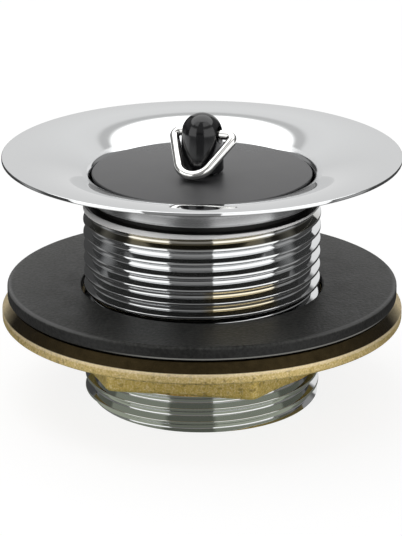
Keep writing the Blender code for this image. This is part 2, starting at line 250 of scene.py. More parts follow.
thread = {
    "radius": 20.955 * mm,
    "depth": 1.25 * mm,
    "pitch": 2.403 * mm,
    "flankAngle": math.radians(27.5),
    "crestShare": 0.36,         # of the flats that the flanks leave
    "crestHeight": 33.22 * mm,  # of one crest's middle, at the front
    "crestRounding": 0.15 * mm,
    "rootRounding": 0.34 * mm,  # where a groove meets the crest below it
    "gripRounding": 0.22 * mm,  # where it meets the crest above it
    "roundingSteps": 3,
    "seamShare": 0.2,           # of half a root, where one pitch ends and the next begins
    "nutClearance": 0.57 * mm,
    "dropShares": (0.5, 0.12),  # of a pitch above the groove, where its upper side starts to drop, and ramp
    "dropTurns": (-0.75, 0.3),  # turn of the groove where the drop starts, and ramp
}


# One pitch of the thread as (height above the crest's middle, radius): crest, flank, root and flank, with
# the four corners between them rounded or left sharp. Flats = pitch - 2 * depth * tan(flank angle).
def threadPitch(clearance, rounded):
    roundings = [thread[key] * rounded for key in ("crestRounding", "rootRounding", "gripRounding")]
    crestSoft, rootSoft, gripSoft = roundings
    pitch = thread["pitch"]
    slope = math.tan(thread["flankAngle"])
    flats = pitch - 2 * thread["depth"] * slope
    spread = clearance * (1 - math.sin(thread["flankAngle"])) / math.cos(thread["flankAngle"])
    crest = flats * thread["crestShare"] / 2 + spread
    root = flats * (1 - thread["crestShare"]) / 2 - spread
    outer = thread["radius"] + clearance
    inner = outer - thread["depth"]
    corners = [(crest - pitch, outer, 0),
               (-pitch / 2 - root, inner, rootSoft), (-pitch / 2 + root, inner, gripSoft),
               (-crest, outer, crestSoft), (crest, outer, crestSoft),
               (pitch / 2 - root, inner, rootSoft), (pitch / 2 + root, inner, 0)]
    outline = softOutline([(*corner, thread["roundingSteps"]) for corner in corners])
    low = np.searchsorted(outline[:, 0], -pitch / 2 - root * thread["seamShare"])
    high = np.searchsorted(outline[:, 0], pitch / 2 - root * thread["seamShare"])
    return outline[low:high]


# Helical rows over a stretch of the axis. Row height = crest + pitch * (turn + angle / full turn) + row
# offset, held between the stretch's two ends; the radius is read from the profile at the height that is
# left. fade = (first, last) turn, counted along the groove, over which the cutter is drawn out of it; drop
# lowers the upper side of the last turn.
def threadGrid(low, high, angles, clearance=0.0, rounded=False, fade=None, drop=0.0):
    pitch = thread["pitch"]
    rows = threadPitch(clearance, rounded)
    firstTurn = math.floor((low - thread["crestHeight"]) / pitch) - 2
    lastTurn = math.ceil((high - thread["crestHeight"]) / pitch) + 1
    turns = np.arange(firstTurn, lastTurn + 1)
    offsets = (turns[:, None] * pitch + rows[None, :, 0]).reshape(-1, 1)
    climb = thread["crestHeight"] + pitch * (angles - front) / (2 * math.pi)
    heights = np.clip(offsets + climb, low, high)
    phase = (heights - climb + pitch / 2) % pitch - pitch / 2
    radii = np.interp(phase, rows[:, 0], rows[:, 1], period=pitch)
    if fade:
        above = (heights - climb) / pitch
        groove = np.floor(above) + (angles - front) / (2 * math.pi)
        drawn = thread["depth"] * np.clip((groove - fade[0]) / (fade[1] - fade[0]), 0, 1)
        radii = np.minimum(radii + drawn, rows[:, 1].max())
        (share, ramp), (turn, lead) = thread["dropShares"], thread["dropTurns"]
        upper = np.clip((above % 1 - share) / ramp, 0, 1) * np.clip((groove - turn) / lead, 0, 1)
        heights = heights - drop * upper * np.clip((high - heights) / (2 * drop), 0, 1)
    return radii, heights


# Waste body

waste = {
    "boreRadius": 17.5 * mm,
    "boreRounding": 0.35 * mm,
    "tailChamfer": 0.6 * mm,
    "threadTop": 36.01 * mm,
    "topRounding": 0.12 * mm,
    "grooveFade": (0.66, 0.90),   # turns along the last groove, where it runs out at the left
    "reliefRadius": 19.20 * mm,
    "bandDrop": 0.17 * mm,        # how far the band above the last groove reaches down below a full crest
    "reliefHeight": 1.05 * mm,
    "reliefRounding": 0.2 * mm,
    "neckRadius": 20.6 * mm,
    "neckRounding": 0.12 * mm,
    "neckSlopes": (math.radians(79.8), math.radians(83.4)),   # at its upper end and at its foot
    "neckRows": 8,
    "rimThickness": 0.6 * mm,
    "rimRounding": 0.15 * mm,
    "rootThickness": 1.25 * mm,
    "dishCurve": 33.0 * mm,
    "underFillet": 1.40 * mm,
    "lipFillet": 0.95 * mm,
    "seatRadius": 19.52 * mm,
    "seatAngle": math.radians(10),
    "seatDepth": 5.8 * mm,
    "seatRounding": 0.3 * mm,
    "columns": 240,
    "dishRows": 26,
    "filletRows": 8,
}


# Arc that runs inward and down across a width while its slope steepens from one angle to another:
# inward = radius * (sin slope - sin start), down = radius * (cos start - cos slope)
def rollDown(across, up, startSlope, endSlope, width, steps):
    radius = width / (math.sin(endSlope) - math.sin(startSlope))
    slopes = np.linspace(startSlope, endSlope, steps + 1)[1:]
    inward = radius * (np.sin(slopes) - math.sin(startSlope))
    down = radius * (math.cos(startSlope) - np.cos(slopes))
    return np.stack([across - inward, up - down], axis=-1)


# Dished top: height falls with the square of the distance in from the rim
def dishHeight(radius):
    return flange["height"] - (flange["radius"] - radius) ** 2 / (2 * waste["dishCurve"])


# Angle of the dished top below level: its tangent is the distance in from the rim / the dish's curve
def dishSlope(radius):
    return math.atan((flange["radius"] - radius) / waste["dishCurve"])


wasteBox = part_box("waste_body")
flange = {"radius": wasteBox[1].x, "height": wasteBox[1].z}


# Outline above the thread: relief groove, neck, fillet, underside of the flange, rim, dish, lip, seat and
# bore. Under the flange, height = dish height - thickness, and the thickness grows evenly from the rim to
# the root.
def wasteOutline():
    w = waste
    rim, top = flange["radius"], flange["height"]
    neckFoot = w["threadTop"] + w["reliefHeight"]
    root = w["neckRadius"] + w["underFillet"]

    def underHeight(radius):
        share = (rim - radius) / (rim - root)
        return dishHeight(radius) - w["rimThickness"] - (w["rootThickness"] - w["rimThickness"]) * share

    first, last = w["neckSlopes"]
    fillet = rollDown(root, underHeight(root), dishSlope(root), first, w["underFillet"], w["filletRows"])
    # the neck carries on from the fillet down to the relief groove, steepening a little
    fall = fillet[-1, 1] - neckFoot
    lean = fall * (math.sin(last) - math.sin(first)) / (math.cos(first) - math.cos(last))
    neck = rollDown(w["neckRadius"], fillet[-1, 1], first, last, lean, w["neckRows"])
    relief = softOutline([(w["reliefRadius"], w["threadTop"], 0, 0),
                          (w["reliefRadius"], neckFoot, w["reliefRounding"], 3),
                          (*neck[-1], w["neckRounding"], 4),
                          (*neck[-3], 0, 0)])[:-1]
    across = np.linspace(root, rim - 2 * w["rimRounding"], w["dishRows"] // 2)
    below = np.stack([across, underHeight(across)], axis=-1)
    edge = softOutline([(across[-1], underHeight(across[-1]), 0, 0),
                        (rim, top - w["rimThickness"], w["rimRounding"], 4),
                        (rim, top, w["rimRounding"], 4),
                        (rim - 2 * w["rimRounding"], dishHeight(rim - 2 * w["rimRounding"]), 0, 0)])[1:-1]
    lip = w["seatRadius"] + w["lipFillet"]
    across = np.linspace(rim - 2 * w["rimRounding"], lip, w["dishRows"])
    dish = np.stack([across, dishHeight(across)], axis=-1)
    roll = rollDown(lip, dishHeight(lip), dishSlope(lip), math.pi / 2 - w["seatAngle"], w["lipFillet"],
                    w["filletRows"])
    mouth = roll[-1]
    seatFoot = mouth[1] - w["seatDepth"]
    footRadius = mouth[0] - w["seatDepth"] * math.tan(w["seatAngle"])
    ledge = footRadius - w["boreRadius"]
    bore = softOutline([(mouth[0], mouth[1], 0, 0),
                        (footRadius, seatFoot, w["seatRounding"], 3),
                        (w["boreRadius"], seatFoot - ledge, w["seatRounding"], 3),
                        (w["boreRadius"], 0, w["boreRounding"], 4),
                        (w["boreRadius"] + 2 * w["boreRounding"], 0, 0, 0)])[1:-1]
    return np.concatenate([relief, neck[-3::-1], fillet[::-1], below, edge, dish, roll, bore])


# Threaded tail and turned upper part as one closed grid. Tail radius = least of the thread's radius, the
# chamfer's (thread radius - chamfer + height) and the thread radius less what the rounded upper edge takes.
def makeWasteShell(material):
    w = waste
    angles = columns(w["columns"])
    ends = [0.0, w["threadTop"]]
    radii, heights = threadGrid(*ends, angles, rounded=True, fade=w["grooveFade"], drop=w["bandDrop"])
    runIn = thread["radius"] - w["tailChamfer"] + heights
    # rounded upper edge: quarter circle, radius lost = rounding - sqrt(rounding^2 - overlap^2)
    overlap = np.clip(heights - w["threadTop"] + w["topRounding"], 0, w["topRounding"])
    lost = w["topRounding"] - np.sqrt(w["topRounding"] ** 2 - overlap ** 2)
    tail = turned(np.minimum(np.minimum(radii, runIn), thread["radius"] - lost), heights, angles)
    upper = lathe(wasteOutline(), w["columns"])
    grid = np.concatenate([tail, upper, tail[:1]])
    piece = addSurface("wasteShell", grid)
    dress(piece, material, "waste", "waste_body")


# In this and the other finishes a trio is (from, to, ramp) and a pair is (edge, ramp). Heights and radii
# are in metres, sides in degrees from the front.
chrome = {
    "grooves": (20.7 * mm, 0.3 * mm),
    "outside": (19.0 * mm, 0.3 * mm),
    "upperPatch": (33.5 * mm, 35.2 * mm, 0.4 * mm),
    "upperPatchSides": (-42, 30, 8),
    "lowerPatch": (21.6 * mm, 25.7 * mm, 0.8 * mm),
    "lowerPatchSides": (2, 40, 5),
    "paintedGrooveShade": (33.40 * mm, 34.12 * mm, 0.12 * mm),
    "grooveShadeSides": (75, 30),
    "satinFrom": (35.27 * mm, 0.08 * mm),
    "satinTo": (36.6 * mm, 0.1 * mm),
    "satinRadius": (20.76 * mm, 0.1 * mm),
    "satinSides": (150, 40),
    "satinShadeFade": (35.8 * mm, 0.9 * mm),
    "relief": (35.94 * mm, 37.07 * mm, 0.06 * mm),
    "reliefRadii": (18.8 * mm, 20.72 * mm, 0.1 * mm),
    "neck": (37.1 * mm, 41.5 * mm, 0.2 * mm),
    "neckRadii": (20.2 * mm, 22.4 * mm, 0.3 * mm),
    "bore": (18.9 * mm, 0.4 * mm),
    "reflectionMottleSize": 1.6 * mm,
    "cloudSize": 6 * mm,
    "polishSize": 0.5 * mm,
    "polishRelief": 0.0004 * mm,
}


def chromePlate():
    c = chrome
    kit = NodeKit(bpy.data.materials.new("chromePlate"))
    radius, fromFront, z = kit.polar()
    reflectionMottle = kit.noise(c["reflectionMottleSize"], 2.0)
    cloud = kit.noise(c["cloudSize"], 3.0)
    # painted reflection of brass, in patches on a few grooves of the thread
    inGroove = 1 - radius.above(*c["grooves"])
    outside = radius.above(*c["outside"])
    upperPatch = z.between(*c["upperPatch"]) * fromFront.between(*c["upperPatchSides"])
    lowerPatch = z.between(*c["lowerPatch"]) * fromFront.between(*c["lowerPatchSides"])
    paintedBrassReflection = (upperPatch * 0.5 + lowerPatch).clamp() * inGroove * outside * (0.6 + 0.4 * reflectionMottle)
    tint = kit.mixColour(paintedBrassReflection, rgb(0.63, 0.638, 0.642), rgb(0.70, 0.62, 0.43))
    # painted shade in the lower half of the topmost groove, under the flange, towards the front
    climb = z - fromFront * (thread["pitch"] / 360)
    paintedGrooveShade = climb.between(*c["paintedGrooveShade"]) * outside * (1 - abs(fromFront).above(*c["grooveShadeSides"]))
    tint = kit.mixColour(paintedGrooveShade * 0.8, tint, rgb(0.17, 0.15, 0.09))
    # turned, unpolished band above the last groove, whose lower edge climbs with the thread
    satin = climb.above(*c["satinFrom"]) * (1 - z.above(*c["satinTo"])) * radius.above(*c["satinRadius"])
    satin = satin * (1 - abs(fromFront).above(*c["satinSides"]))
    # painted shade: the band's colour darkens upwards, towards the flange's overhang
    satinTintAndShade = kit.mixColour(climb.above(*c["satinShadeFade"]), rgb(0.98, 0.97, 0.96), rgb(0.50, 0.50, 0.50))
    colour = kit.mixColour(satin, tint, satinTintAndShade)
    # relief groove: dull, and dark with painted shade
    dullAndShaded = z.between(*c["relief"]) * radius.between(*c["reliefRadii"])
    colour = kit.mixColour(dullAndShaded, colour, rgb(0.05, 0.05, 0.048))
    # the bore and the neck are less finely polished
    inside = 1 - radius.above(*c["bore"])
    neck = z.between(*c["neck"]) * radius.between(*c["neckRadii"])
    roughness = 0.04 + 0.03 * cloud + 0.48 * satin + 0.4 * dullAndShaded + 0.10 * inside + 0.16 * neck
    polish = kit.bump(kit.noise(c["polishSize"], 2.0), c["polishRelief"])
    return kit.finish(Base_Color=colour, Metallic=1 - 0.45 * satin, Roughness=roughness, Normal=polish)


# Rubber sealing washer

washer = {
    "edgeRounding": 0.42 * mm,
    "holeClearance": 0.50 * mm,
    "topFall": 0.60 * mm,         # of the upper face, from its outer edge to the hole
    "holeRounding": 0.3 * mm,
    "footRounding": 0.25 * mm,
    "columns": 240,
}


# Rounded ring, turned. Its upper face falls evenly from the outer edge to the hole.
def makeSealingWasher(material):
    w = washer
    low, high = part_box("sealing_washer")
    outer, hole = high.x, thread["radius"] + w["holeClearance"]
    outline = softOutline([(hole, low.z, w["holeRounding"], 4),
                           (outer, low.z, w["footRounding"], 5),
                           (outer, high.z, w["edgeRounding"], 7),
                           (hole, high.z - w["topFall"], w["holeRounding"], 4)], closed=True)
    piece = addSurface("sealingRing", lathe(outline, w["columns"]))
    dress(piece, material, "washer", "sealing_washer")


# Here an edge is given as a distance in from the ring's outer edge, down from its top or up from its foot.
rubber = {
    "mottleSize": 3.2 * mm,
    "speckSize": 0.55 * mm,
    "relief": 0.13 * mm,
    "shadedSideIn": (0.5 * mm, 0.3 * mm),
    "shadedSideDown": (0.45 * mm, 0.3 * mm),
    "wearAndGlintIn": (0.62 * mm, 0.45 * mm),
    "wearAndGlintDown": (0.32 * mm, 0.2 * mm),
    "wearAndGlintSides": (32, 96, 20),
    "footGlintIn": (0.55 * mm, 0.1 * mm),
    "footGlintUp": (0.34 * mm, 0.08 * mm),
    "footGlintSides": (-22, 60, 18),
}


def washerRubber():
    kit = NodeKit(bpy.data.materials.new("washerRubber"))
    mottle = kit.noise(rubber["mottleSize"], 4.0, 0.6)
    speck = kit.noise(rubber["speckSize"], 2.0)
    radius, fromFront, z = kit.polar()
    low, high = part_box("sealing_washer")

    def outside(name):
        inward, ramp = rubber[name]
        return radius.above(high.x - inward, ramp)

    def nearTop(name):
        down, ramp = rubber[name]
        return z.above(high.z - down, ramp)

    light = (mottle * 2.4 - 0.75).clamp() * 0.5 + (speck * 3.4 - 1.2).clamp() * 0.5
    colour = kit.mixColour(light, rgb(0.003, 0.003, 0.002), rgb(0.058, 0.058, 0.054))
    # painted shade makes the outer side darker than the top, and the edge between them is pale away from the
    # front: part rubbed wear, part painted highlight
    side = outside("shadedSideIn") * (1 - nearTop("shadedSideDown"))
    colour = kit.mixColour(side * 0.62, colour, rgb(0.003, 0.003, 0.003))
    # pale upper outer edge: partly rubbed wear, partly a painted highlight
    rubbed = outside("wearAndGlintIn") * nearTop("wearAndGlintDown") * abs(fromFront).between(*rubber["wearAndGlintSides"])
    colour = kit.mixColour(rubbed * 0.8, colour, rgb(0.14, 0.14, 0.138))
    # painted highlight: pale line along part of the foot of the outer edge
    up, ramp = rubber["footGlintUp"]
    paintedFootGlint = (1 - z.above(low.z + up, ramp)) * outside("footGlintIn") * fromFront.between(*rubber["footGlintSides"])
    colour = kit.mixColour(paintedFootGlint, colour, rgb(0.30, 0.30, 0.28))
    grain = kit.bump(speck * 0.6 + mottle * 0.4, rubber["relief"])
    return kit.finish(Base_Color=colour, Roughness=0.34 + 0.30 * mottle, IOR=1.34, Normal=grain)


# Cast brass backnut

nut = {
    "landRadius": 34.3 * mm,
    "landSlope": 1.88 * mm,
    "rimHeight": 1.8 * mm,
    "edgeRounding": 0.35 * mm,
    "underDrop": 0.4 * mm,
    "underFrom": 27 * mm,         # radius where the rim's underside starts to slope
    "underFillet": 0.8 * mm,
    "acrossFlats": 44.4 * mm,
    "cornerRounding": 1.6 * mm,
    "footRounding": 0.7 * mm,
    "turn": math.radians(-9.5),
    "mouthChamfer": 0.5 * mm,
    "mouthFlat": 0.5 * mm,
    "columns": 288,
}


# Distance out to a hexagon with rounded corners: apothem / cos(angle from the nearest side's middle), and
# near a corner the far crossing with that corner's circle
def hexRadius(angles):
    apothem = nut["acrossFlats"] / 2
    rounding = nut["cornerRounding"]
    side = math.pi / 3
    fromMiddle = (angles - front - nut["turn"] + side / 2) % side - side / 2
    fromCorner = side / 2 - np.abs(fromMiddle)
    centre = (apothem - rounding) / math.cos(side / 2)
    touch = side / 2 - math.atan2(centre * math.sin(side / 2), apothem)
    inside = np.maximum(rounding ** 2 - (centre * np.sin(fromCorner)) ** 2, 0)
    onCircle = centre * np.cos(fromCorner) + np.sqrt(inside)
    return np.where(fromCorner < touch, onCircle, apothem / np.cos(fromMiddle))


# Threaded bore, hexagon and turned rim as one closed grid. Bore radius = greatest of the thread's radius
# and the two mouths' (mouth radius - distance in from the face). Foot radius = hexagon - rounding * (1 -
# sin a), and under the rim the hexagon flares by fillet * (1 - cos a).
def makeBackNut(material):
    n = nut
    low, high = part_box("backnut")
    rim = high.x
    angles = columns(n["columns"])
    radii, heights = threadGrid(low.z, high.z, angles, clearance=thread["nutClearance"])
    mouth = thread["radius"] + thread["nutClearance"] + n["mouthChamfer"]
    radii = np.maximum(radii, np.maximum(mouth - (heights - low.z), mouth - (high.z - heights)))
    inner = turned(radii, heights, angles)
    hexagon = hexRadius(angles)
    rimTop = high.z - n["landSlope"]
    rimFoot = rimTop - n["rimHeight"]
    hexTop = rimFoot - n["underDrop"]
    sweep = np.linspace(0, math.pi / 2, 7)[:, None]
    footRadii = hexagon - n["footRounding"] * (1 - np.sin(sweep))
    footHeights = low.z + n["footRounding"] * (1 - np.cos(sweep)) + 0 * hexagon
    foot = turned(footRadii, footHeights, angles)
    fillet = n["underFillet"]
    sweep = np.linspace(0, math.pi / 2, 6)[:, None]
    jointRadii = hexagon + fillet * (1 - np.cos(sweep))
    jointHeights = hexTop - fillet + fillet * np.sin(sweep) + 0 * hexagon
    joint = turned(jointRadii, jointHeights, angles)
    e = n["edgeRounding"]
    outline = softOutline([(n["underFrom"], hexTop, 0, 0), (rim, rimFoot, e * 1.3, 5), (rim, rimTop, e, 4),
                           (n["landRadius"], high.z, e, 4), (mouth + n["mouthFlat"], high.z, 0, 0)])[1:]
    rimPart = lathe(outline, n["columns"])
    grid = np.concatenate([inner[::-1], foot, joint, rimPart, inner[-1:]])
    piece = addSurface("flangedNut", grid)
    dress(piece, material, "nut", "backnut")


# Here heights are measured from the rim's foot or from its upper edge.
brass = {
    "grainSize": 0.34 * mm,
    "grainRelief": 0.09 * mm,
    "pitSize": 0.8 * mm,
    "stainSize": 5.0 * mm,
    "landMottleSize": 1.5 * mm,
    "hexagonDown": (0.25 * mm, 0.1 * mm),
    "rimGlintDown": (0.42 * mm, 0.3 * mm),
    "landUp": (0.10 * mm, 0.12 * mm),
    "landRadius": (30 * mm, 1 * mm),
    "litSides": (76, 104, 15),
}


def castBrass():
    b = brass
    kit = NodeKit(bpy.data.materials.new("castBrass"))
    grain = kit.noise(b["grainSize"], 3.0, 0.65)
    pit = kit.noise(b["pitSize"], 2.0)
    stain = kit.noise(b["stainSize"], 3.0)
    landMottle = kit.noise(b["landMottleSize"], 3.0)
    radius, fromFront, z = kit.polar()
    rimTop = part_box("backnut")[1].z - nut["landSlope"]
    colour = kit.mixColour(stain, rgb(0.58, 0.445, 0.17), rgb(0.73, 0.575, 0.25))
    down, ramp = b["hexagonDown"]
    hexagon = 1 - z.above(rimTop - nut["rimHeight"] - down, ramp)
    colour = kit.mixColour(hexagon, colour, rgb(0.69, 0.52, 0.165))
    # light grains, dark grains and pits of the casting
    colour = kit.mixColour((grain * 6.0 - 2.9).clamp() * 0.75, colour, rgb(0.88, 0.76, 0.50))
    colour = kit.mixColour((2.7 - grain * 6.0).clamp() * 0.6, colour, rgb(0.34, 0.24, 0.08))
    colour = kit.mixColour((2.52 - pit * 6.0).clamp() * 0.6, colour, rgb(0.16, 0.11, 0.04))
    # painted highlight along the upper edge of the rim
    down, ramp = b["rimGlintDown"]
    edge = z.above(rimTop - down, ramp)
    colour = kit.mixColour(edge * (0.35 + 0.4 * grain), colour, rgb(0.95, 0.83, 0.62))
    # sloping land above the rim, turned, and darkened with painted shade, the dark reflection of the rubber
    # washer above it, except at the sides
    up, ramp = b["landUp"]
    land = z.above(rimTop + up, ramp) * radius.above(*b["landRadius"])
    land = land * (1 - abs(fromFront).between(*b["litSides"]))
    paintedLandShade = kit.mixColour(landMottle, rgb(0.018, 0.013, 0.006), rgb(0.052, 0.038, 0.017))
    colour = kit.mixColour(land, colour, paintedLandShade)
    roughness = 0.50 + 0.24 * grain - 0.20 * land
    bumps = kit.bump(grain, b["grainRelief"])
    return kit.finish(Base_Color=colour, Metallic=1.0, Roughness=roughness, Normal=bumps)


# Plug

plug = {
    "topOversize": 0.05 * mm,     # of the taper's radius at the top face, before its edge is rounded
    "topRounding": 0.22 * mm,
    "footRounding": 0.6 * mm,
    "holeRounding": 0.15 * mm,
    "hollowRounding": 0.3 * mm,
    "roofRounding": 0.5 * mm,
    "bossRootRounding": 0.3 * mm,
    "bossRounding": 0.2 * mm,
    "taper": math.radians(10),
    "wall": 2.9 * mm,
    "skin": 3.0 * mm,
    "bossRadius": 5.2 * mm,
    "bossHeight": 0.8 * mm,
    "holeRadius": 2.3 * mm,
    "columns": 240,
}


# Tapered disc with a hollow underside and a boss, turned: foot radius = top radius - height * tan(taper)
def makePlugPlate(material):
    p = plug
    low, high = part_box("plug_disc")
    hole = p["holeRadius"]
    topRadius = high.x + p["topOversize"]
    footRadius = topRadius - (high.z - low.z) * math.tan(p["taper"])
    roof = high.z - p["skin"]
    boss = roof - p["bossHeight"]
    hollow = footRadius - p["wall"]
    outline = softOutline([(hole, high.z, p["holeRounding"], 2), (topRadius, high.z, p["topRounding"], 6),
                           (footRadius, low.z, p["footRounding"], 6), (hollow, low.z, p["hollowRounding"], 3),
                           (hollow, roof, p["roofRounding"], 3),
                           (p["bossRadius"], roof, p["bossRootRounding"], 3),
                           (p["bossRadius"], boss, p["bossRounding"], 3),
                           (hole, boss, p["holeRounding"], 2)], closed=True)
    piece = addSurface("plugPlate", lathe(outline, p["columns"]))
    dress(piece, material, "plug", "plug_disc")


plugFinish = {
    "bloomSize": 4.0 * mm,
    "speckSize": 0.30 * mm,
    "relief": 0.012 * mm,
    "handledOver": 38 * mm,       # from back to front, the stretch over which it gets duller from handling
}


def plugRubber():
    kit = NodeKit(bpy.data.materials.new("plugRubber"))
    bloom = kit.noise(plugFinish["bloomSize"], 4.0, 0.6)
    speck = kit.noise(plugFinish["speckSize"], 2.0)
    y = kit.axes(kit.place())[1]
    rubbed = (0.5 - y / plugFinish["handledOver"]).clamp()
    light = bloom * 0.7 + speck * 0.3
    colour = kit.mixColour(light, rgb(0.016, 0.016, 0.017), rgb(0.036, 0.036, 0.038))
    roughness = 0.20 + 0.26 * rubbed + 0.08 * bloom
    return kit.finish(Base_Color=colour, Roughness=roughness, Normal=kit.bump(speck, plugFinish["relief"]))


# Knob and lifting ring

knob = {
    "eyeHeight": 7.0 * mm,      # above the plug's top face
    "baseRadius": 3.85 * mm,
    "baseRounding": 0.4 * mm,
    "seatGap": 0.3 * mm,
    "shankRadius": 2.0 * mm,
    "stakeRadius": 2.9 * mm,
    "stakeHeight": 1.0 * mm,
    "stakeEdge": 0.1 * mm,
    "stakeRounding": 0.4 * mm,
    "eyeRadius": 1.16 * mm,
    "eyeFlare": 0.35 * mm,
    "flareShares": (0.72, 0.86),   # of the dome's radius, where the flare starts and is full
    "eyeReach": 1.5 * mm,          # of the cutter past the dome
    "eyeSides": 48,
    "hazeSize": 1.6 * mm,
    "hazeRelief": 0.004 * mm,
    "columns": 128,
}

wire = {
    "radius": 0.86 * mm,
    "length": 8.77 * mm,
    "cornerRadius": 1.0 * mm,
    "tipRadius": 3.05 * mm,
    "shoulderGap": 0.72 * mm,
    "restGap": 0.25 * mm,
    "sideShift": 0.50 * mm,
    "yaw": math.radians(-21.5),
    "arcSteps": 18,
    "legSteps": 16,
    "sides": 28,
    "drawnSize": 0.8 * mm,
    "drawnRelief": 0.002 * mm,
}

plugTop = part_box("plug_disc")[1].z
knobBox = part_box("plug_knob")
eyeCentre = plugTop + knob["eyeHeight"]
domeRadius = knobBox[1].z - eyeCentre


# Points given along the hinge, away from it in the ring's plane, and out of that plane, set in the ring's
# rest place: leaned about the hinge, turned about the drain's axis and lifted to the eye
def inRingPlace(along, away, out, lean):
    y = away * math.sin(lean) + out * math.cos(lean)
    z = away * math.cos(lean) - out * math.sin(lean)
    cos, sin = math.cos(wire["yaw"]), math.sin(wire["yaw"])
    return np.stack([along * cos - y * sin, along * sin + y * cos, z + eyeCentre], axis=-1)


# Quarter circle (radius R cos a, height R sin a) on a side that narrows evenly to the base, above the shank
# and its spread foot, turned. The eye is cut out by a spool that lies along the hinge and widens at both
# mouths.
def makeKnob(material):
    k = knob
    low = knobBox[0].z
    dome = np.linspace(math.pi / 2, 0, 25)
    domePart = np.stack([domeRadius * np.cos(dome), eyeCentre + domeRadius * np.sin(dome)], axis=-1)
    base = plugTop + k["seatGap"]
    stakeTop = low + k["stakeHeight"]
    lower = softOutline([(domeRadius, eyeCentre, 0, 0), (k["baseRadius"], base, k["baseRounding"], 4),
                         (k["shankRadius"], base, 0, 0), (k["shankRadius"], stakeTop, 0, 0),
                         (k["stakeRadius"], stakeTop, k["stakeEdge"], 2),
                         (k["stakeRadius"], low, k["stakeRounding"], 5), (0, low, 0, 0)])[1:]
    side = np.linspace(0, 1, 12)[1:-1, None]
    sidePart = np.array([[domeRadius, eyeCentre]]) * (1 - side) + lower[:1] * side
    piece = addSurface("domedKnob", lathe(np.concatenate([domePart, sidePart, lower]), k["columns"]))
    reach = domeRadius + k["eyeReach"]
    start, full = [domeRadius * share for share in k["flareShares"]]
    along = np.array([-reach, -reach, -full, -start, start, full, reach, reach])
    narrow, flare = k["eyeRadius"], k["eyeRadius"] + k["eyeFlare"]
    wide = np.array([0, flare * 1.4, flare, narrow, narrow, flare, flare * 1.4, 0])
    around = np.linspace(0, 2 * math.pi, k["eyeSides"] + 1)
    cutGrid = inRingPlace(along[:, None] + 0 * around, wide[:, None] * np.cos(around),
                          wide[:, None] * np.sin(around), 0.0)
    cutter = addSurface("eyeCutter", cutGrid)
    cut = piece.modifiers.new("eye", "BOOLEAN")
    cut.operation = "DIFFERENCE"
    cut.solver = "EXACT"
    cut.object = cutter
    bpy.context.view_layer.update()
    finished = bpy.data.meshes.new_from_object(piece.evaluated_get(bpy.context.evaluated_depsgraph_get()))
    piece.modifiers.clear()
    piece.data = finished
    finished.name = "domedKnob"
    bpy.data.objects.remove(cutter, do_unlink=True)
    dress(piece, material, "plug", "plug_knob", sharpAngle=50)


def glossBlack():
    kit = NodeKit(bpy.data.materials.new("glossBlack"))
    haze = kit.noise(knob["hazeSize"], 3.0)
    roughness = 0.10 + 0.07 * haze
    colour = kit.mixColour(haze, rgb(0.006, 0.006, 0.007), rgb(0.012, 0.012, 0.013))
    return kit.finish(Base_Color=colour, Roughness=roughness, Normal=kit.bump(haze, knob["hazeRelief"]))


# Centre line of the wire as (along the hinge, away from it): two shoulders and the tip are arcs, centre +
# radius (cos a, sin a), and the bar and the two legs run straight between their ends. The legs touch the
# arcs, so they lean by atan(shoulder / fall) - asin((tip radius - corner radius) / distance between the
# centres).
def ringPath():
    w = wire
    shoulder = domeRadius + w["shoulderGap"]
    corner, tip = w["cornerRadius"], w["tipRadius"]
    fall = w["length"] - tip - corner
    lean = math.atan2(shoulder, fall) - math.asin((tip - corner) / math.hypot(shoulder, fall))
    right = np.linspace(math.pi / 2, -lean, w["arcSteps"])
    bottom = np.linspace(-lean, lean - math.pi, 2 * w["arcSteps"])
    left = np.linspace(math.pi + lean, math.pi / 2, w["arcSteps"])

    def arcAt(acrossAt, awayAt, radius, angles):
        return np.stack([acrossAt + radius * np.cos(angles), awayAt + radius * np.sin(angles)], axis=-1)

    rightArc = arcAt(shoulder, -corner, corner, right)
    tipArc = arcAt(0, tip - w["length"], tip, bottom)
    leftArc = arcAt(-shoulder, -corner, corner, left)
    share = np.linspace(0, 1, w["legSteps"])[1:-1, None]
    rightLeg = rightArc[-1] * (1 - share) + tipArc[0] * share
    leftLeg = tipArc[-1] * (1 - share) + leftArc[0] * share
    bar = leftArc[-1] * (1 - share) + rightArc[0] * share
    return np.concatenate([rightArc, rightLeg, tipArc, leftLeg, leftArc, bar])


# Circle swept along the centre line: point = centre line + radius cos b * sideways + radius sin b * out of
# plane
def makeWireRing(material):
    w = wire
    path = ringPath()
    ahead = np.roll(path, -1, axis=0) - np.roll(path, 1, axis=0)
    ahead = ahead / np.linalg.norm(ahead, axis=1, keepdims=True)
    sideways = np.stack([ahead[:, 1], -ahead[:, 0]], axis=-1)
    around = np.linspace(0, 2 * math.pi, w["sides"] + 1)
    inPlane = path[:, None, :] + w["radius"] * np.cos(around)[None, :, None] * sideways[:, None, :]
    out = w["radius"] * np.sin(around)[None, :] + 0 * path[:, :1]
    lean = math.acos((knob["eyeHeight"] - w["radius"] - w["restGap"]) / w["length"])
    grid = inRingPlace(inPlane[..., 0] + w["sideShift"], inPlane[..., 1], out, lean)
    grid = np.concatenate([grid, grid[:1]])
    piece = addSurface("wireRing", grid)
    dress(piece, material, "ring", "lifting_ring")


def wireChrome():
    kit = NodeKit(bpy.data.materials.new("wireChrome"))
    drawn = kit.noise(wire["drawnSize"], 3.0)
    colour = kit.mixColour(drawn, rgb(0.70, 0.70, 0.69), rgb(0.80, 0.79, 0.76))
    bumps = kit.bump(drawn, wire["drawnRelief"])
    return kit.finish(Base_Color=colour, Metallic=1.0, Roughness=0.05 + 0.05 * drawn, Normal=bumps)


# Retainer under the plug

retainer = {
    "edge": 0.15 * mm,
    "columns": 96,
    "lineSize": 0.4 * mm,
    "lineRelief": 0.006 * mm,
}


